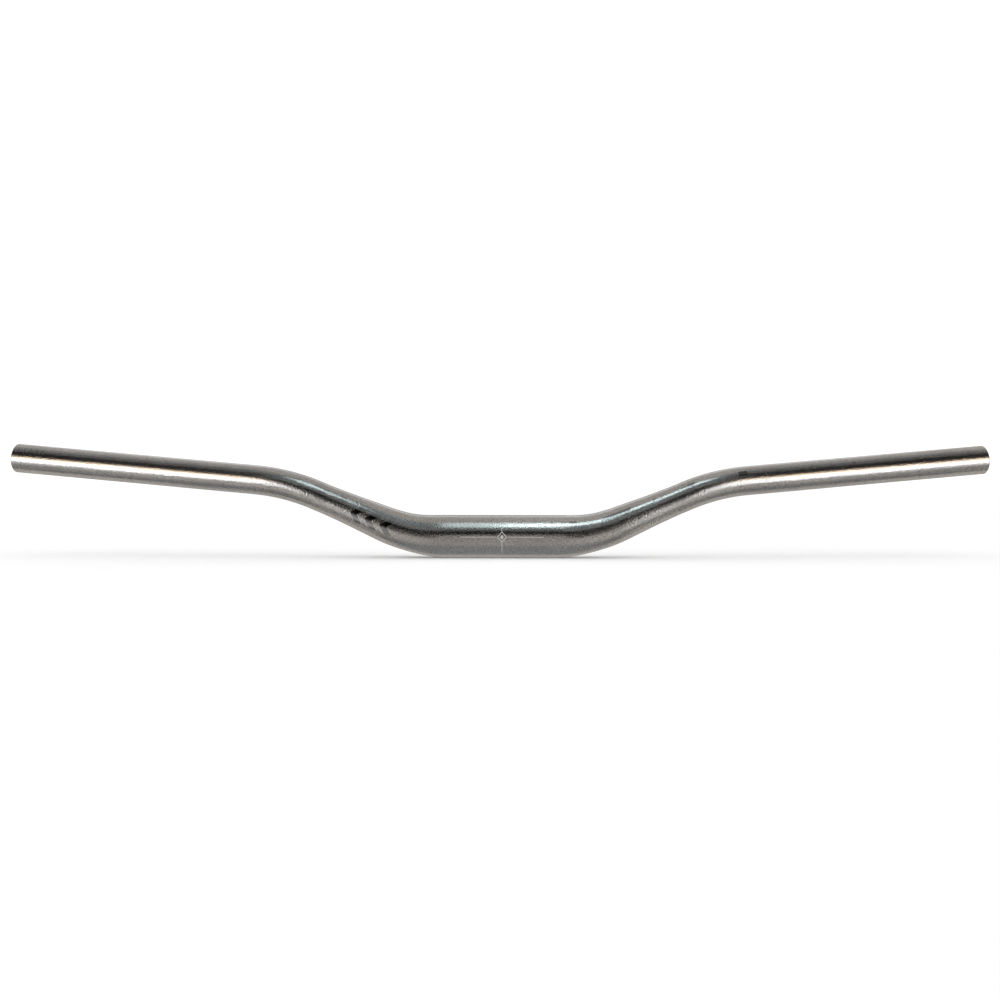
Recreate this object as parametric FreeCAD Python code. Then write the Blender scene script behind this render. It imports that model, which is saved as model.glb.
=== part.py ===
import FreeCAD, Part
import math
import os

# Riser handlebar: one bent, butted and tapered aluminium tube, with thin mirror-film graphics on its bends.
# Frame: origin on the tube's axis at the middle of the stem clamp zone, +X along the width,
# -Y towards the front wheel, +Y towards the rider, +Z up. Lengths are in mm, angles in degrees.

# Overall shape
WIDTH = 760.0                 # overall, between the outermost points of the two ends
CLAMP_DIAMETER = 31.8         # where the stem holds the bar
CLAMP_LENGTH = 86.0           # straight, full-diameter zone
GRIP_DIAMETER = 22.2          # where grips, levers and shifters go
SLANT_UP, SLANT_BACK = 22.5, 5.6      # direction of the straight run between the two bends
GRIP_UP, GRIP_BACK = 5.0, 8.0         # upsweep and backsweep of the grip zones
INNER_BEND_RADIUS = 115.0
SLANT_LENGTH = 57.0
OUTER_BEND_RADIUS = 160.0

# Outer taper: a short shoulder beside the clamp zone, then a long swaged taper down to the grip size
SHOULDER_DROP = 1.8           # radius lost on the shoulder
SHOULDER_START, SHOULDER_END = 43.0, 75.0     # distances along the axis from the middle
TAPER_START, TAPER_END = 64.0, 140.0

# Butted wall: thick under the stem, thin through the bends, thicker again at the ends
CLAMP_WALL, BEND_WALL, END_WALL = 2.4, 1.8, 2.1
WALL_TAPER_END = 95.0
END_BUTT_LENGTH = 60.0
END_BUTT_TAPER = 20.0
OUTER_RIM_CHAMFER, INNER_RIM_CHAMFER = 0.6, 0.4

# Laser-cut alignment marks
MARK_WIDTH, MARK_DEPTH = 0.4, 0.1
CENTRE_SCALE_LENGTH = 62.0            # horizontal line across the front of the clamp zone
CENTRE_MARK_ANGLES = (-48.0, 22.0)    # vertical line at the middle of the clamp zone
CENTRE_MARK_GAP = 4.5                 # half height of the space left around the emblem
EMBLEM_WIDTH, EMBLEM_HEIGHT, EMBLEM_CORE = 7.2, 8.0, 0.36     # a diamond, and how much of it its core fills
EMBLEM_LINE = 0.14                    # its outline's thickness, as a share of its size
TRIM_MARK_PITCH, TRIM_MARK_COUNT = 5.0, 5     # cutting guides at each end
LEFT_TRIM_ANGLES = (6.0, 48.0)        # on the upper front
RIGHT_TRIM_ANGLES = (110.0, 152.0)    # on the upper back

# Mirror-film graphics
FILM = 0.1                    # thickness of the film
CHEVRON_COUNT, CHEVRON_PITCH = 3, 12.0
CHEVRON_HEIGHT, CHEVRON_STROKE, CHEVRON_POINT = 11.5, 5.5, 6.0
FIRST_CHEVRON, CHEVRON_ANGLE = 80.0, -2.0
# each part of the broken stripe: distance along the axis, angle above the front, length, height, slant
STRIPE_PARTS = (
    (53.5, 43.0, 6.0, 1.6, 0.0),
    (89.0, 41.0, 26.0, 3.0, 2.5),
    (119.5, 39.0, 5.0, 4.5, 4.0),
    (150.0, 41.0, 9.0, 3.0, 2.5),
    (189.5, 33.0, 7.0, 4.0, 0.0),
)

GRAPHIC_REACH = 4.0           # how deep a graphic's outline is carried into the wall's curve
SECTION_SPACING = 3.0         # between the round sections that shape the bends
CLEAR = 1.0                   # how far a cutting tool reaches past what it cuts

UP = FreeCAD.Vector(0, 0, 1)
ORIGIN = FreeCAD.Vector(0, 0, 0)
MIRROR_PLANE = FreeCAD.Vector(1, 0, 0)
CLAMP_RADIUS, GRIP_RADIUS = CLAMP_DIAMETER / 2, GRIP_DIAMETER / 2
CLAMP_HALF = CLAMP_LENGTH / 2


def heading(up, back):
    """Unit direction of a run that leaves +X by these two angles, seen from the front and from above."""
    direction = FreeCAD.Vector(1, math.tan(math.radians(back)), math.tan(math.radians(up)))
    return direction.normalize()


class CentreLine:
    """The right half of the tube's axis: straight, bend, straight, bend, straight."""

    def __init__(self):
        across = FreeCAD.Vector(1, 0, 0)
        slant = heading(SLANT_UP, SLANT_BACK)
        grip = heading(GRIP_UP, GRIP_BACK)
        self.runs = []
        self.length = 0.0
        self.end = ORIGIN
        self.add_straight(across, CLAMP_HALF)
        self.add_bend(across, slant, INNER_BEND_RADIUS)
        self.add_straight(slant, SLANT_LENGTH)
        self.add_bend(slant, grip, OUTER_BEND_RADIUS)
        self.grip_start = self.length
        # the square-cut end leans, so its rim reaches further out than the axis does
        lean = GRIP_DIAMETER / 2 * across.cross(grip).Length
        self.add_straight(grip, (WIDTH / 2 - lean - self.end.x) / grip.x)

    def add_straight(self, direction, length):
        start = self.end
        self.add_run(length, lambda d: (start + direction * d, direction))

    def add_bend(self, before, after, radius):
        start = self.end
        turn = before.getAngle(after)
        inward = (after - before * before.dot(after)).normalize()

        def at(d):
            angle = d / radius
            along, aside = math.sin(angle), math.cos(angle)
            point = start + before * (radius * along) + inward * (radius * (1 - aside))
            return point, before * aside + inward * along

        self.add_run(turn * radius, at)

    def add_run(self, length, at):
        self.runs.append((self.length, at))
        self.end = at(length)[0]
        self.length += length

    def at(self, distance):
        """Point and direction at a distance along the axis from the middle of the bar."""
        start, run = [r for r in self.runs if r[0] <= distance or r[0] == 0.0][-1]
        return run(distance - start)


AXIS = CentreLine()


def ease(value, start, end):
    """0 before start, 1 after end, with a smooth change between."""
    t = min(max((value - start) / (end - start), 0.0), 1.0)
    return t * t * (3 - 2 * t)


def outer_radius(distance):
    long_drop = CLAMP_RADIUS - GRIP_RADIUS - SHOULDER_DROP
    shoulder = SHOULDER_DROP * ease(distance, SHOULDER_START, SHOULDER_END)
    return CLAMP_RADIUS - shoulder - long_drop * ease(distance, TAPER_START, TAPER_END)


def inner_radius(distance):
    thinning = (CLAMP_WALL - BEND_WALL) * ease(distance, SHOULDER_START, WALL_TAPER_END)
    butt_start = AXIS.length - END_BUTT_LENGTH
    thickening = (END_WALL - BEND_WALL) * ease(distance, butt_start - END_BUTT_TAPER, butt_start)
    return outer_radius(distance) - CLAMP_WALL + thinning - thickening


def film_radius(distance):
    return outer_radius(distance) + FILM


def placement(distance, angle=0.0):
    """Local frame on the axis: Z along the tube, Y out through the wall at this angle above the front."""
    point, direction = AXIS.at(distance)
    back = UP.cross(direction).normalize()
    upright = direction.cross(back)
    turn = math.radians(angle)
    out = upright * math.sin(turn) - back * math.cos(turn)
    rotation = FreeCAD.Rotation(out.cross(direction), out, direction, "ZYX")
    return FreeCAD.Placement(point, rotation)


def section(distance, radius):
    circle = Part.Wire(Part.makeCircle(radius))
    circle.Placement = placement(distance)
    return circle


def shaped(start, end, radius_at):
    """Bent or tapered length between two distances, as a run of short facets around the tube."""
    count = math.ceil((end - start) / SECTION_SPACING)
    stations = [start + (end - start) * i / count for i in range(count + 1)]
    return Part.makeLoft([section(s, radius_at(s)) for s in stations], True, True)


def straight(start, end, radius):
    """Straight cylinder between two distances along the axis."""
    point, direction = AXIS.at(start)
    return Part.makeCylinder(radius, end - start, point, direction)


def mirrored(shape):
    return shape.mirror(ORIGIN, MIRROR_PLANE)


def both_sides(middle, *right_pieces):
    """One solid from a symmetric middle piece and pieces that repeat on the left."""
    pieces = list(right_pieces) + [mirrored(piece) for piece in right_pieces]
    return middle.fuse(pieces).removeSplitter()


def middle_cylinder(radius):
    return Part.makeCylinder(radius, CLAMP_LENGTH, FreeCAD.Vector(-CLAMP_HALF, 0, 0), MIRROR_PLANE)


def outer_body():
    return both_sides(
        middle_cylinder(CLAMP_RADIUS),
        shaped(CLAMP_HALF, AXIS.grip_start, outer_radius),
        straight(AXIS.grip_start, AXIS.length, GRIP_RADIUS),
    )


def bore_body():
    """Everything inside the wall, running out past both ends."""
    butt_start = AXIS.length - END_BUTT_LENGTH
    thinned_end = butt_start - END_BUTT_TAPER
    return both_sides(
        middle_cylinder(CLAMP_RADIUS - CLAMP_WALL),
        shaped(CLAMP_HALF, AXIS.grip_start, inner_radius),
        straight(AXIS.grip_start, thinned_end, GRIP_RADIUS - BEND_WALL),
        shaped(thinned_end, butt_start, inner_radius),
        straight(butt_start, AXIS.length + CLEAR, GRIP_RADIUS - END_WALL),
    )


def rim_edges(tube, radius):
    """The two round edges of this radius at the ends of the tube."""
    ends = [AXIS.end, FreeCAD.Vector(-AXIS.end.x, AXIS.end.y, AXIS.end.z)]

    def on_end(edge):
        curve = edge.Curve
        return isinstance(curve, Part.Circle) and abs(curve.Radius - radius) < 1e-3 and any(
            (curve.Center - end).Length < 1e-3 for end in ends)

    return [edge for edge in tube.Edges if on_end(edge)]


def ring_mark(distance, angles):
    """Cutting tool for a mark that runs part of the way round the tube."""
    low, high = angles
    radius = outer_radius(distance)
    floor, reach = radius - MARK_DEPTH, radius + CLEAR
    ring = Part.makeCylinder(reach, MARK_WIDTH, ORIGIN, UP, high - low)
    ring = ring.cut(Part.makeCylinder(floor, MARK_WIDTH, ORIGIN, UP))
    ring.translate(FreeCAD.Vector(0, 0, -MARK_WIDTH / 2))
    # the ring now starts at the local X axis and has to end at Y, which points out at the low angle
    ring.rotate(ORIGIN, UP, 90.0 - (high - low))
    ring.Placement = placement(distance, low).multiply(ring.Placement)
    return ring


def centre_scale():
    """Cutting tools for the lines on the front of the clamp zone, open around the middle."""
    half = CENTRE_SCALE_LENGTH / 2
    length = half - CENTRE_MARK_GAP
    bar = Part.makeBox(length, MARK_DEPTH + CLEAR, MARK_WIDTH,
                       FreeCAD.Vector(CENTRE_MARK_GAP, -CLAMP_RADIUS - CLEAR, -MARK_WIDTH / 2))
    gap_angle = math.degrees(CENTRE_MARK_GAP / CLAMP_RADIUS)
    low, high = CENTRE_MARK_ANGLES
    return [bar, mirrored(bar), ring_mark(0.0, (low, -gap_angle)), ring_mark(0.0, (gap_angle, high))]


def diamond(size):
    """Prism of the emblem's outline at this share of its size, pointing forwards."""
    half_width, half_height = EMBLEM_WIDTH / 2 * size, EMBLEM_HEIGHT / 2 * size
    corners = [(-half_width, 0), (0, -half_height), (half_width, 0), (0, half_height), (-half_width, 0)]
    face = Part.Face(Part.makePolygon([FreeCAD.Vector(x, 0, z) for x, z in corners]))
    return face.extrude(FreeCAD.Vector(0, -2 * CLAMP_RADIUS, 0))


def centre_emblem():
    """Cutting tool for a plain diamond in the middle of the centre lines, as deep as the other marks."""
    outline = diamond(1.0).cut(diamond(1.0 - EMBLEM_LINE))
    skin = Part.makeCylinder(CLAMP_RADIUS - MARK_DEPTH, CLAMP_LENGTH,
                             FreeCAD.Vector(-CLAMP_HALF, 0, 0), MIRROR_PLANE)
    return [mark.cut(skin) for mark in (outline, diamond(EMBLEM_CORE))]


def trim_marks(angles):
    distances = [AXIS.length - TRIM_MARK_PITCH * (i + 1) for i in range(TRIM_MARK_COUNT)]
    return [ring_mark(distance, angles) for distance in distances]


def handlebar_tube(outer):
    tube = outer.cut(bore_body())
    tube = tube.makeChamfer(OUTER_RIM_CHAMFER, rim_edges(tube, GRIP_RADIUS))
    tube = tube.makeChamfer(INNER_RIM_CHAMFER, rim_edges(tube, GRIP_RADIUS - END_WALL))
    left_marks = [mirrored(mark) for mark in trim_marks(LEFT_TRIM_ANGLES)]
    return tube.cut(centre_scale() + centre_emblem() + trim_marks(RIGHT_TRIM_ANGLES) + left_marks)


def prism(distance, angle, outline):
    """Solid that stands on the wall with this outline: x along the tube, y round it, upwards."""
    radius = outer_radius(distance)
    corners = [FreeCAD.Vector(y, radius - GRAPHIC_REACH, x) for x, y in outline]
    face = Part.Face(Part.makePolygon(corners + corners[:1]))
    block = face.extrude(FreeCAD.Vector(0, GRAPHIC_REACH + CLEAR, 0))
    block.Placement = placement(distance, angle)
    return block


def chevron_outline():
    half, stroke, point = CHEVRON_HEIGHT / 2, CHEVRON_STROKE, CHEVRON_POINT
    return [(0, half), (stroke, half), (stroke + point, 0), (stroke, -half), (0, -half), (point, 0)]


def stripe_outline(length, height, slant):
    half, rise = length / 2, height / 2
    return [(-half, -rise), (half - slant, -rise), (half, rise), (slant - half, rise)]


def film_from(prisms, film_layer):
    return Part.makeCompound([film_layer.common(block).Solids[0] for block in prisms])


def film_layer(outer):
    """A film's thickness all over the right bends, from which the graphics are cut."""
    return shaped(CLAMP_HALF, AXIS.grip_start, film_radius).cut(outer)


def main():
    os.makedirs("parts", exist_ok=True)
    outer = outer_body()
    film = film_layer(outer)
    chevrons = [prism(FIRST_CHEVRON + CHEVRON_PITCH * i, CHEVRON_ANGLE, chevron_outline())
                for i in range(CHEVRON_COUNT)]
    stripe = [prism(distance, angle, stripe_outline(*size)) for distance, angle, *size in STRIPE_PARTS]
    parts = {
        "handlebar_tube": handlebar_tube(outer),
        "left_bend_chevrons": mirrored(film_from(chevrons, film)),
        "right_bend_stripe": film_from(stripe, film),
    }
    for name, shape in parts.items():
        shape.exportStep(f"parts/{name}.step")
        print(name, "solids", len(shape.Solids), "valid", shape.isValid(), "volume", round(shape.Volume, 2))


main()
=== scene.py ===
import math

import bpy
import numpy as np
from mathutils import Matrix, Vector


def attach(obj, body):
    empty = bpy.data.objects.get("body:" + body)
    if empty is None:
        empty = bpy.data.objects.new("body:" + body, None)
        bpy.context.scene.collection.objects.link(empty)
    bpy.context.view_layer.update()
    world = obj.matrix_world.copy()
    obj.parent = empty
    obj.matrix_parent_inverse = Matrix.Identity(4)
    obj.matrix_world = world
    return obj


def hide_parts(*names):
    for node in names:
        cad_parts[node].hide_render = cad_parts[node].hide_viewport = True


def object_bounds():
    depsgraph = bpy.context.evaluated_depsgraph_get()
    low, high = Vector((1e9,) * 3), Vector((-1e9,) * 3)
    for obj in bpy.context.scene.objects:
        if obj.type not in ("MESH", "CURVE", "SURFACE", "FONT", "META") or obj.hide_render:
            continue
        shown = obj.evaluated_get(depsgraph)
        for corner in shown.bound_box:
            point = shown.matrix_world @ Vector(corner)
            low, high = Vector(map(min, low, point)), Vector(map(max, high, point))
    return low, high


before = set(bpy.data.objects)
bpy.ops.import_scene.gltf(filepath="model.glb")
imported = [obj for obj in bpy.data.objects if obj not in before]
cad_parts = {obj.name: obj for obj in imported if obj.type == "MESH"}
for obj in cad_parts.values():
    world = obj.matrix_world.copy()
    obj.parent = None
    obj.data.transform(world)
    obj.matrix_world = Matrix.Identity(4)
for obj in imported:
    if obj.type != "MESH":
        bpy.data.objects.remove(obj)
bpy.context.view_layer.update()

# The tube, in metres: the same shape as the CAD part, swept in finer steps.
# Distances run along the axis from the middle of the bar; the left half is the right half mirrored.
CLAMP_RADIUS, GRIP_RADIUS = 0.0159, 0.0111
CLAMP_HALF = 0.043
SLANT_UP, SLANT_BACK = 22.5, 5.6
GRIP_UP, GRIP_BACK = 5.0, 8.0
INNER_BEND_RADIUS, OUTER_BEND_RADIUS = 0.115, 0.160
SLANT_LENGTH = 0.057
WIDTH = 0.760
SHOULDER_DROP, SHOULDER_START, SHOULDER_END = 0.0018, 0.043, 0.075
TAPER_START, TAPER_END = 0.064, 0.140
CLAMP_WALL, BEND_WALL, END_WALL, WALL_TAPER_END = 0.0024, 0.0018, 0.0021, 0.095
END_BUTT_LENGTH, END_BUTT_TAPER = 0.060, 0.020
OUTER_RIM_CHAMFER, INNER_RIM_CHAMFER = 0.0006, 0.0004

# The tube's mesh: faces round it, and how far apart its rings stand, closest through the bends
SIDES = 96
WIDE_STEP, FINE_STEP, INSIDE_STEP = 0.004, 0.001, 0.003
FINE_START, FINE_MARGIN = 0.040, 0.002
SHARP_DEGREES = 30

# Laser marks: distances in metres, angles in degrees above the front
MARK_WIDTH, MARK_EDGE = 0.0004, 0.00012
ARC_EDGE = 0.8
CENTRE_SCALE_HALF, CENTRE_MARK_GAP = 0.031, 0.0045
CENTRE_MARK_ANGLES = (-48.0, 22.0)
TRIM_MARK_PITCH, TRIM_MARK_COUNT = 0.005, 5
LEFT_TRIM_ANGLES, RIGHT_TRIM_ANGLES = (6.0, 48.0), (110.0, 152.0)
EMBLEM_HALF_WIDTH, EMBLEM_HALF_HEIGHT, EMBLEM_LINE = 0.0036, 0.0040, 0.0005
EMBLEM_CORE, EMBLEM_OVERHANG, EMBLEM_EDGE = 0.36, 0.2, 0.05      # shares of the emblem's size or its line

# Blasted aluminium: noise scales in features per metre, bump depths in metres
BEAD_SCALE, UNEVEN_SCALE, CLOUD_SCALE, SMUDGE_SCALE = 1050.0, 650.0, 28.0, 9.0
SCUFF_STRETCH = (40.0, 900.0, 900.0)            # scuffs run along the bar
DULL_METAL, BRIGHT_METAL = (0.545, 0.540, 0.530, 1), (0.635, 0.632, 0.625, 1)
PALE_MARK, DARK_MARK = (0.60, 0.585, 0.575, 1), (0.055, 0.052, 0.05, 1)
SPECKLE_SHARE = 0.8
SMOOTHEST, ROUGHEST = 0.16, 0.19
UNEVEN_SPREAD, SCUFF_POLISH, ETCHED_ROUGHNESS = 0.08, 0.06, 0.28
MARK_DEPTH_SHARE = 0.4                          # of a bead dimple's depth
BEAD_BUMP, BEAD_DEPTH = 0.7, 0.00014
PALE_MARK_SCATTER = 0.85

# Mirror film
FILM_WEAR_SCALE, FILM_WAVE_SCALE = 380.0, 160.0
DARK_FILM, WORN_FILM = (0.28, 0.28, 0.29, 1), (0.38, 0.38, 0.39, 1)
FILM_SMOOTHEST, FILM_ROUGHEST = 0.05, 0.13
FILM_BUMP, FILM_DEPTH = 0.25, 0.00003


# ---------------------------------------------------------------- the tube's axis and radii

def heading(up, back):
    return Vector((1, math.tan(math.radians(back)), math.tan(math.radians(up)))).normalized()


class Axis:
    """The right half of the tube's axis: straight, bend, straight, bend, straight."""

    def __init__(self):
        across, slant, grip = Vector((1, 0, 0)), heading(SLANT_UP, SLANT_BACK), heading(GRIP_UP, GRIP_BACK)
        self.runs, self.length, self.end = [], 0.0, Vector((0, 0, 0))
        self.add_straight(across, CLAMP_HALF)
        self.add_bend(across, slant, INNER_BEND_RADIUS)
        self.add_straight(slant, SLANT_LENGTH)
        self.add_bend(slant, grip, OUTER_BEND_RADIUS)
        self.grip_start = self.length
        lean = GRIP_RADIUS * across.cross(grip).length
        self.add_straight(grip, (WIDTH / 2 - lean - self.end.x) / grip.x)

    def add_straight(self, direction, length):
        start = self.end.copy()
        self.add_run(length, lambda d: (start + direction * d, direction))

    def add_bend(self, before, after, radius):
        start, turn = self.end.copy(), before.angle(after)
        inward = (after - before * before.dot(after)).normalized()

        def at(d):
            along, aside = math.sin(d / radius), math.cos(d / radius)
            return (start + before * (radius * along) + inward * (radius * (1 - aside)),
                    before * aside + inward * along)

        self.add_run(turn * radius, at)

    def add_run(self, length, at):
        self.runs.append((self.length, at))
        self.end = at(length)[0]
        self.length += length

    def at(self, distance):
        """Point and direction at a distance from the middle, negative on the left."""
        start, run = [r for r in self.runs if r[0] <= abs(distance) or r[0] == 0.0][-1]
        point, direction = run(abs(distance) - start)
        if distance < 0:
            point = Vector((-point.x, point.y, point.z))
            direction = Vector((direction.x, -direction.y, -direction.z))
        return point, direction


AXIS = Axis()


def ease(value, start, end):
    t = min(max((value - start) / (end - start), 0.0), 1.0)
    return t * t * (3 - 2 * t)


def outer_radius(distance):
    d = abs(distance)
    long_drop = CLAMP_RADIUS - GRIP_RADIUS - SHOULDER_DROP
    return (CLAMP_RADIUS - SHOULDER_DROP * ease(d, SHOULDER_START, SHOULDER_END)
            - long_drop * ease(d, TAPER_START, TAPER_END))


def inner_radius(distance):
    d = abs(distance)
    butt_start = AXIS.length - END_BUTT_LENGTH
    thinning = (CLAMP_WALL - BEND_WALL) * ease(d, SHOULDER_START, WALL_TAPER_END)
    thickening = (END_WALL - BEND_WALL) * ease(d, butt_start - END_BUTT_TAPER, butt_start)
    return outer_radius(d) - CLAMP_WALL + thinning - thickening


# ---------------------------------------------------------------- the tube's mesh

def spaced(start, end, step):
    return list(np.linspace(start, end, max(2, round((end - start) / step) + 1)))


def ring(distance, radius):
    """Points round the axis, from the back round by way of below, the front and above."""
    point, direction = AXIS.at(distance)
    back = Vector((0, 0, 1)).cross(direction).normalized()
    upright = direction.cross(back)
    angles = np.radians(np.linspace(-180, 180, SIDES, endpoint=False))[:, None]
    out = np.sin(angles) * np.array(upright) - np.cos(angles) * np.array(back)
    return np.array(point) + radius * out


def tube_profile():
    """(distance, radius) pairs along the outside from left to right and back through the inside."""
    fine_end = AXIS.grip_start + FINE_MARGIN
    right = (spaced(0, FINE_START, WIDE_STEP)[:-1] + spaced(FINE_START, fine_end, FINE_STEP)[:-1]
             + spaced(fine_end, AXIS.length - OUTER_RIM_CHAMFER, WIDE_STEP))
    both = [-d for d in reversed(right[1:])] + right
    outside = [(d, outer_radius(d)) for d in both]
    end, rim = AXIS.length, GRIP_RADIUS - OUTER_RIM_CHAMFER
    bore = GRIP_RADIUS - END_WALL
    inside_end = end - INNER_RIM_CHAMFER
    inside = [(-d, inner_radius(d)) for d in spaced(-inside_end, inside_end, INSIDE_STEP)]
    right_end = [(end, rim), (end, bore + INNER_RIM_CHAMFER)]
    left_end = [(-end, bore + INNER_RIM_CHAMFER), (-end, rim)]
    return outside + right_end + inside + left_end


def make_tube():
    profile = tube_profile()
    points = np.vstack([ring(d, r) for d, r in profile])
    count = len(profile)
    faces, coords = [], []
    travelled = np.array([d for d, _ in profile])
    degrees = np.linspace(-180, 180, SIDES + 1)
    for i in range(count):
        j = (i + 1) % count
        for k in range(SIDES):
            m = (k + 1) % SIDES
            faces.append((i * SIDES + k, i * SIDES + m, j * SIDES + m, j * SIDES + k))
            a, b = degrees[k], degrees[k + 1]
            coords += [travelled[i], a, travelled[i], b, travelled[j], b, travelled[j], a]
    mesh = bpy.data.meshes.new("tube")
    mesh.from_pydata(points.tolist(), [], faces)
    layer = mesh.uv_layers.new(name="wall")          # u: metres along the axis, v: degrees above the front
    layer.data.foreach_set("uv", np.array(coords, np.float32))
    mesh.polygons.foreach_set("use_smooth", [True] * len(faces))
    mesh.update()
    mesh.set_sharp_from_angle(angle=math.radians(SHARP_DEGREES))
    tube = bpy.data.objects.new("tube", mesh)
    bpy.context.scene.collection.objects.link(tube)
    return tube


# ---------------------------------------------------------------- materials

class Nodes:
    """Short calls for building a node tree."""

    def __init__(self, tree):
        self.tree = tree
        tree.nodes.clear()

    def add(self, kind, inputs=None, **settings):
        node = self.tree.nodes.new(kind)
        for name, value in settings.items():
            setattr(node, name, value)
        for key, value in (inputs or {}).items():
            if isinstance(value, bpy.types.NodeSocket):
                self.tree.links.new(value, node.inputs[key])
            else:
                node.inputs[key].default_value = value
        return node

    def math(self, operation, *values, clamp=False):
        return self.add("ShaderNodeMath", dict(enumerate(values)), operation=operation,
                        use_clamp=clamp).outputs[0]

    def noise(self, vector, scale, detail=2.0, roughness=0.5):
        return self.add("ShaderNodeTexNoise", {"Vector": vector, "Scale": scale, "Detail": detail,
                                               "Roughness": roughness}).outputs["Fac"]

    def ramp(self, factor, stops):
        """Colours or grey levels at places along the factor, blended evenly between them."""
        node = self.add("ShaderNodeValToRGB", {"Fac": factor})
        elements = node.color_ramp.elements
        while len(elements) < len(stops):
            elements.new(0.5)
        for element, (position, colour) in zip(elements, stops):
            element.position = position
            element.color = colour if hasattr(colour, "__len__") else (colour, colour, colour, 1)
        return node.outputs["Color"]

    def mix(self, factor, first, second):
        node = self.add("ShaderNodeMix", data_type="RGBA")
        for index, value in ((0, factor), (6, first), (7, second)):
            if isinstance(value, bpy.types.NodeSocket):
                self.tree.links.new(value, node.inputs[index])
            else:
                node.inputs[index].default_value = value
        return node.outputs[2]

    def remap(self, value, low, high, lowest, highest):
        """Value stretched from one range to another, and kept inside it."""
        return self.add("ShaderNodeMapRange", {"Value": value, "From Min": low, "From Max": high,
                                               "To Min": lowest, "To Max": highest}).outputs[0]

    def between(self, value, low, high, soft):
        """1 where value lies between low and high, with soft edges."""
        rising = self.add("ShaderNodeMapRange", {"Value": value, "From Min": low - soft,
                                                 "From Max": low + soft})
        falling = self.add("ShaderNodeMapRange", {"Value": value, "From Min": high - soft,
                                                  "From Max": high + soft, "To Min": 1.0, "To Max": 0.0})
        return self.math("MULTIPLY", rising.outputs[0], falling.outputs[0])


def new_material(name):
    material = bpy.data.materials.new(name)
    material.use_nodes = True
    return material, Nodes(material.node_tree)


def laser_marks(n, along, angle):
    """Masks of the pale marks on the clamp zone and of the dark trim marks at the ends."""
    half = MARK_WIDTH / 2
    height = n.math("MULTIPLY", angle, math.radians(1) * CLAMP_RADIUS)
    across = n.math("ABSOLUTE", along)
    level = n.math("MULTIPLY", n.between(across, CENTRE_MARK_GAP, CENTRE_SCALE_HALF, MARK_EDGE),
                   n.between(height, -half, half, MARK_EDGE))
    low, high = (math.radians(a) * CLAMP_RADIUS for a in CENTRE_MARK_ANGLES)
    beyond_gap = n.math("GREATER_THAN", n.math("ABSOLUTE", height), CENTRE_MARK_GAP)
    upright = n.math("MULTIPLY", n.between(along, -half, half, MARK_EDGE),
                     n.math("MULTIPLY", n.between(height, low, high, MARK_EDGE), beyond_gap))
    diamond = n.math("ADD", n.math("DIVIDE", across, EMBLEM_HALF_WIDTH),
                     n.math("DIVIDE", n.math("ABSOLUTE", height), EMBLEM_HALF_HEIGHT))
    line = EMBLEM_LINE / EMBLEM_HALF_WIDTH
    outline = n.between(diamond, 1 - line, 1 + line * EMBLEM_OVERHANG, EMBLEM_EDGE)
    core = n.between(diamond, -1.0, EMBLEM_CORE, EMBLEM_EDGE)
    emblem = n.math("MAXIMUM", outline, core)
    pale = n.math("MAXIMUM", n.math("MAXIMUM", level, upright), emblem)

    first = AXIS.length - TRIM_MARK_PITCH * TRIM_MARK_COUNT
    step = n.math("SUBTRACT", across, first)
    phase = n.math("PINGPONG", step, TRIM_MARK_PITCH / 2)
    on_pitch = n.math("MULTIPLY", n.between(phase, -1.0, half, MARK_EDGE),
                      n.between(across, first - half * 2, AXIS.length - TRIM_MARK_PITCH / 2, MARK_EDGE))
    right_side = n.math("GREATER_THAN", along, 0.0)
    left_side = n.math("SUBTRACT", 1.0, right_side)
    arc = n.math("ADD", n.math("MULTIPLY", left_side, n.between(angle, *LEFT_TRIM_ANGLES, ARC_EDGE)),
                 n.math("MULTIPLY", right_side, n.between(angle, *RIGHT_TRIM_ANGLES, ARC_EDGE)))
    dark = n.math("MULTIPLY", on_pitch, arc)
    return pale, dark


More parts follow.
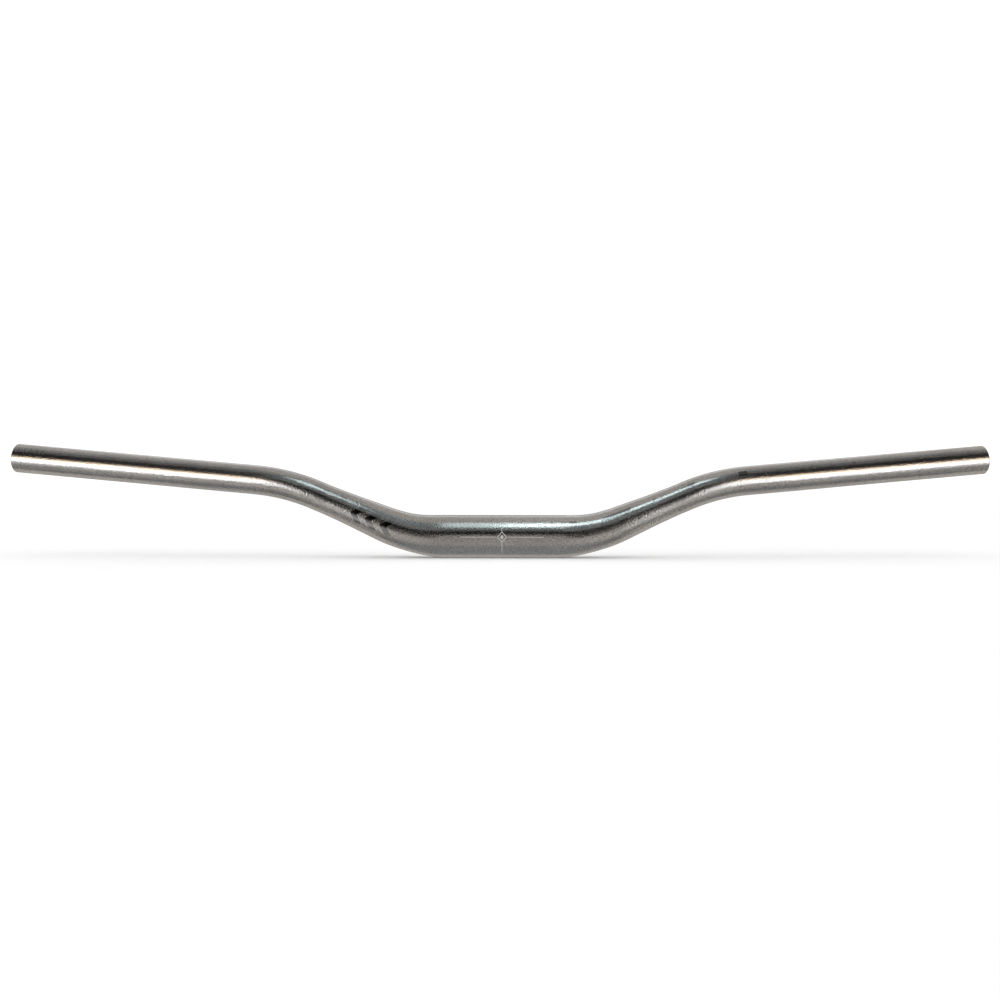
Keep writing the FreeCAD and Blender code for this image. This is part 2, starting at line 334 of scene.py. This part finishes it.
def blasted_aluminium():
    material, n = new_material("blasted_aluminium")
    place = n.add("ShaderNodeTexCoord").outputs["Object"]
    wall = n.add("ShaderNodeSeparateXYZ", {0: n.add("ShaderNodeUVMap", uv_map="wall").outputs[0]})
    along, angle = wall.outputs[0], wall.outputs[1]
    pale, dark = laser_marks(n, along, angle)

    grain = n.noise(place, BEAD_SCALE, 0.0)                 # dimples left by the beads
    coarse = n.noise(place, UNEVEN_SCALE, 1.0, 0.5)
    cloud = n.noise(place, CLOUD_SCALE, 4.0, 0.6)           # how evenly it was blasted
    smudge = n.noise(place, SMUDGE_SCALE, 5.0, 0.65)        # handling marks in the oxide film
    along_bar = n.add("ShaderNodeVectorMath", {0: place, 1: SCUFF_STRETCH}, operation="MULTIPLY").outputs[0]
    scuff = n.noise(along_bar, 1.0, 3.0, 0.6)

    colour = n.ramp(cloud, [(0.30, DULL_METAL), (0.70, BRIGHT_METAL)])
    speckle = n.ramp(grain, [(0.30, 0.72), (0.50, 1.0), (0.72, 1.12)])
    colour = n.add("ShaderNodeMix", {0: SPECKLE_SHARE, 6: colour, 7: speckle}, data_type="RGBA",
                   blend_type="MULTIPLY").outputs[2]
    colour = n.mix(pale, colour, PALE_MARK)
    colour = n.mix(dark, colour, DARK_MARK)

    rough = n.remap(smudge, 0.30, 0.70, SMOOTHEST, ROUGHEST)
    uneven = n.math("MULTIPLY", n.math("SUBTRACT", coarse, 0.5), UNEVEN_SPREAD)
    rough = n.math("ADD", rough, uneven)
    scratched = n.between(scuff, 0.70, 2.0, 0.02)
    rough = n.math("SUBTRACT", rough, n.math("MULTIPLY", scratched, SCUFF_POLISH))
    etched = n.math("MAXIMUM", pale, dark)
    rough = n.math("ADD", rough, n.math("MULTIPLY", etched, ETCHED_ROUGHNESS))

    relief = n.math("SUBTRACT", grain, n.math("MULTIPLY", etched, MARK_DEPTH_SHARE))
    bump = n.add("ShaderNodeBump", {"Strength": BEAD_BUMP, "Distance": BEAD_DEPTH, "Height": relief})
    metal = n.math("SUBTRACT", 1.0, n.math("MULTIPLY", pale, PALE_MARK_SCATTER))
    shader = n.add("ShaderNodeBsdfPrincipled", {"Base Color": colour, "Metallic": metal, "Roughness": rough,
                                                "Normal": bump.outputs[0]})
    n.add("ShaderNodeOutputMaterial", {"Surface": shader.outputs[0]})
    return material


def mirror_film():
    material, n = new_material("mirror_film")
    place = n.add("ShaderNodeTexCoord").outputs["Object"]
    wear = n.noise(place, FILM_WEAR_SCALE, 4.0, 0.65)
    wave = n.noise(place, FILM_WAVE_SCALE, 2.0, 0.5)
    colour = n.ramp(wear, [(0.30, DARK_FILM), (0.62, WORN_FILM)])
    rough = n.remap(wear, 0.35, 0.75, FILM_SMOOTHEST, FILM_ROUGHEST)
    bump = n.add("ShaderNodeBump", {"Strength": FILM_BUMP, "Distance": FILM_DEPTH, "Height": wave})
    shader = n.add("ShaderNodeBsdfPrincipled", {"Base Color": colour, "Metallic": 1.0, "Roughness": rough,
                                                "Normal": bump.outputs[0]})
    n.add("ShaderNodeOutputMaterial", {"Surface": shader.outputs[0]})
    return material


def pale_floor():
    material, n = new_material("pale_floor")
    place = n.add("ShaderNodeTexCoord").outputs["Object"]
    tone = n.ramp(n.noise(place, 3.0, 3.0, 0.5), [(0.3, 0.90), (0.7, 0.92)])
    shader = n.add("ShaderNodeBsdfPrincipled", {"Base Color": tone, "Roughness": 1.0,
                                                "Specular IOR Level": 0.0})
    n.add("ShaderNodeOutputMaterial", {"Surface": shader.outputs[0]})
    return material


# ---------------------------------------------------------------- the studio

CAMERA_PLACE, CAMERA_TURN = (-0.0077, -0.9535, 0.0404), (89.21, -0.10, -0.38)      # metres, degrees
LENS, SENSOR_WIDTH = 45.6, 36.0                 # mm
FLOOR_WIDTH, FLOOR_GAP = 24, 0.0001

# Narrow cool softboxes that hang close above the front of the bar: each one's name, the distance along
# the bar of its middle, its length and depth, its angle above the front, and its brightness
STRIPS = (
    ("strip_softbox_left", -0.168, 0.060, 0.040, 60.0, 1.3),
    ("strip_softbox_middle", 0.008, 0.120, 0.074, 62.0, 0.8),
    ("strip_softbox_right", 0.135, 0.180, 0.036, 65.0, 1.6),
)
STRIP_DISTANCE, STRIP_COLOUR = 0.15, (0.82, 0.98, 1.0)

# Side softboxes in front of the grips, the brightest things in the room. Each pane is its corners on the
# right side as (x, z) in metres, its brightness and its tint; the upper pane is the warm edge of the lower.
SIDE_SOFTBOX_FRONT = 0.32
SIDE_PANES = (
    (((0.36, -0.11), (0.29, 0.03), (0.32, 0.085), (0.90, 0.120), (0.90, -0.12)), 2.3, (1.0, 0.99, 1.0)),
    (((0.32, 0.085), (0.33, 0.140), (0.90, 0.190), (0.90, 0.120)), 1.9, (1.0, 0.72, 0.45)),
)

# The rest of the studio is large panels that run along the bar. Each is the angles above the front where
# it starts and ends (0 is the camera's side, 90 is overhead), how soft its edges are, its brightness and
# its tint. The middle of the bar, its slants and its grips face different stretches of the panels.
WHITE, WARM, COOL = (1.0, 1.0, 1.0), (1.0, 0.93, 0.86), (0.90, 0.98, 1.0)
BACK_WALL = 0.55
BACKDROP = (1.12, 1.12, 1.12, 1)                # what the camera sees, and what lights the floor
# How far aside a reflection has to look for one set of panels to give way to the next
GRIP_PANEL_SLOPE = 0.24                         # further aside, the higher it looks
MIDDLE_TO_SLANTS, SLANTS_TO_GRIPS = (0.08, 0.30), (0.41, 0.45)
PANELS_BY_MIDDLE = (
    (-120, -45, 10, 0.29, WHITE),       # table under the bar
    (-45, 7, 11, 0.38, WARM),           # low front screen
    (7, 46, 9, 0.005, WHITE),           # black flag round the lens
    (45, 80, 8, 0.16, COOL),            # ceiling
    (80, 98, 4, 0.08, WHITE),           # gap behind the strip softbox
    (98, 150, 6, 0.70, WHITE),          # softbox over the back
)
PANELS_BY_SLANTS = (
    (-100, -82, 8, 0.12, WHITE),
    (-82, -60, 8, 0.24, WHITE),
    (-60, -12, 10, 0.52, WARM),
    (-12, 34, 8, 0.005, WHITE),
    (34, 82, 8, 0.24, COOL),
    (82, 135, 8, 0.46, WARM),
    (135, 165, 12, 1.00, WHITE),
)
PANELS_BY_GRIPS = (
    (-125, -98, 8, 0.90, WARM),
    (-98, -74, 10, 0.56, WARM),
    (-74, -44, 8, 0.20, WHITE),
    (-44, -22, 7, 0.76, WHITE),
    (-22, 23, 4, 0.40, WARM),
    (23, 64, 5, 0.02, WARM),
    (64, 84, 8, 0.09, WHITE),
    (84, 104, 8, 0.28, WHITE),
)
REAR_PANELS = (
    (160, 200, 6, 0.16, WHITE),         # dark curtain behind the bar
    (-200, -158, 6, 0.16, WHITE),
)


def studio():
    """A bright white room for the camera and the floor, and panels round the bar for its reflections."""
    world = bpy.data.worlds.new("studio")
    world.use_nodes = True
    bpy.context.scene.world = world
    n = Nodes(world.node_tree)
    x, y, z = n.add("ShaderNodeSeparateXYZ", {0: n.add("ShaderNodeTexCoord").outputs["Generated"]}).outputs
    angle = n.math("DEGREES", n.math("ARCTAN2", z, n.math("MULTIPLY", y, -1.0)))
    aside = n.math("ADD", n.math("ABSOLUTE", x), n.math("MULTIPLY", z, GRIP_PANEL_SLOPE))

    def room(panels):
        light = tuple(BACK_WALL * tint for tint in WARM) + (1,)
        for start, end, soft, brightness, tint in panels + REAR_PANELS:
            colour = tuple(brightness * t for t in tint) + (1,)
            light = n.mix(n.between(angle, start, end, soft), light, colour)
        return light

    def beyond(limits):
        return n.add("ShaderNodeMapRange", {"Value": aside, "From Min": limits[0], "From Max": limits[1]},
                     interpolation_type="SMOOTHSTEP").outputs[0]

    reflections = n.mix(beyond(MIDDLE_TO_SLANTS), room(PANELS_BY_MIDDLE), room(PANELS_BY_SLANTS))
    reflections = n.mix(beyond(SLANTS_TO_GRIPS), reflections, room(PANELS_BY_GRIPS))
    path = n.add("ShaderNodeLightPath")
    lit = n.mix(path.outputs["Is Glossy Ray"], BACKDROP, reflections)
    background = n.add("ShaderNodeBackground", {"Color": lit, "Strength": 1.0})
    n.add("ShaderNodeOutputWorld", {"Surface": background.outputs[0]})
    world.cycles.sampling_method = "NONE"


def strip_light(name, distance, length, depth, elevation, radiance):
    data = bpy.data.lights.new(name, "AREA")
    data.shape = "RECTANGLE"
    data.size, data.size_y = length, depth
    data.color = STRIP_COLOUR
    data.energy = radiance * math.pi * length * depth
    light = bpy.data.objects.new(name, data)
    bpy.context.scene.collection.objects.link(light)
    point, along = AXIS.at(distance)
    tilt = math.radians(elevation)
    away = Vector((0, -math.cos(tilt), math.sin(tilt)))
    away = (away - along * away.dot(along)).normalized()
    turned = Matrix((along, away.cross(along), away)).transposed().to_4x4()
    light.matrix_world = Matrix.Translation(point + away * STRIP_DISTANCE) @ turned
    light.visible_camera = False
    light.visible_diffuse = False


def side_pane(name, side, corners, brightness, tint):
    mesh = bpy.data.meshes.new(name)
    points = [(side * x, -SIDE_SOFTBOX_FRONT, z) for x, z in corners]
    mesh.from_pydata(points, [], [tuple(range(len(points)))])
    pane = bpy.data.objects.new(name, mesh)
    bpy.context.scene.collection.objects.link(pane)
    material, n = new_material(name)
    glow = n.add("ShaderNodeEmission", {"Color": (*tint, 1), "Strength": brightness})
    n.add("ShaderNodeOutputMaterial", {"Surface": glow.outputs[0]})
    mesh.materials.append(material)
    pane.visible_camera = False
    pane.visible_diffuse = False
    pane.visible_shadow = False


def make_floor():
    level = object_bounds()[0].z
    bpy.ops.mesh.primitive_plane_add(size=FLOOR_WIDTH, location=(0, 0, level - FLOOR_GAP))
    floor = bpy.context.object
    floor.name = "floor"
    floor.data.materials.append(pale_floor())
    floor.visible_glossy = False


def make_camera():
    """At the front, a little above the bar and about a metre away."""
    data = bpy.data.cameras.new("camera")
    data.sensor_width = SENSOR_WIDTH
    data.lens = LENS
    data.clip_start = 0.01
    camera = bpy.data.objects.new("camera", data)
    bpy.context.scene.collection.objects.link(camera)
    camera.location = CAMERA_PLACE
    camera.rotation_euler = [math.radians(a) for a in CAMERA_TURN]
    bpy.context.scene.camera = camera


tube = make_tube()
tube.data.materials.append(blasted_aluminium())
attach(tube, "root")
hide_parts("handlebar_tube")

film = mirror_film()
for name in ("left_bend_chevrons", "right_bend_stripe"):
    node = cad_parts[name]
    node.data.materials.clear()
    node.data.materials.append(film)

make_floor()
studio()
for strip in STRIPS:
    strip_light(*strip)
for number, pane in enumerate(SIDE_PANES):
    side_pane(f"side_softbox_left_{number}", -1, *pane)
    side_pane(f"side_softbox_right_{number}", 1, *pane)
make_camera()
bpy.context.scene.view_settings.view_transform = "Standard"
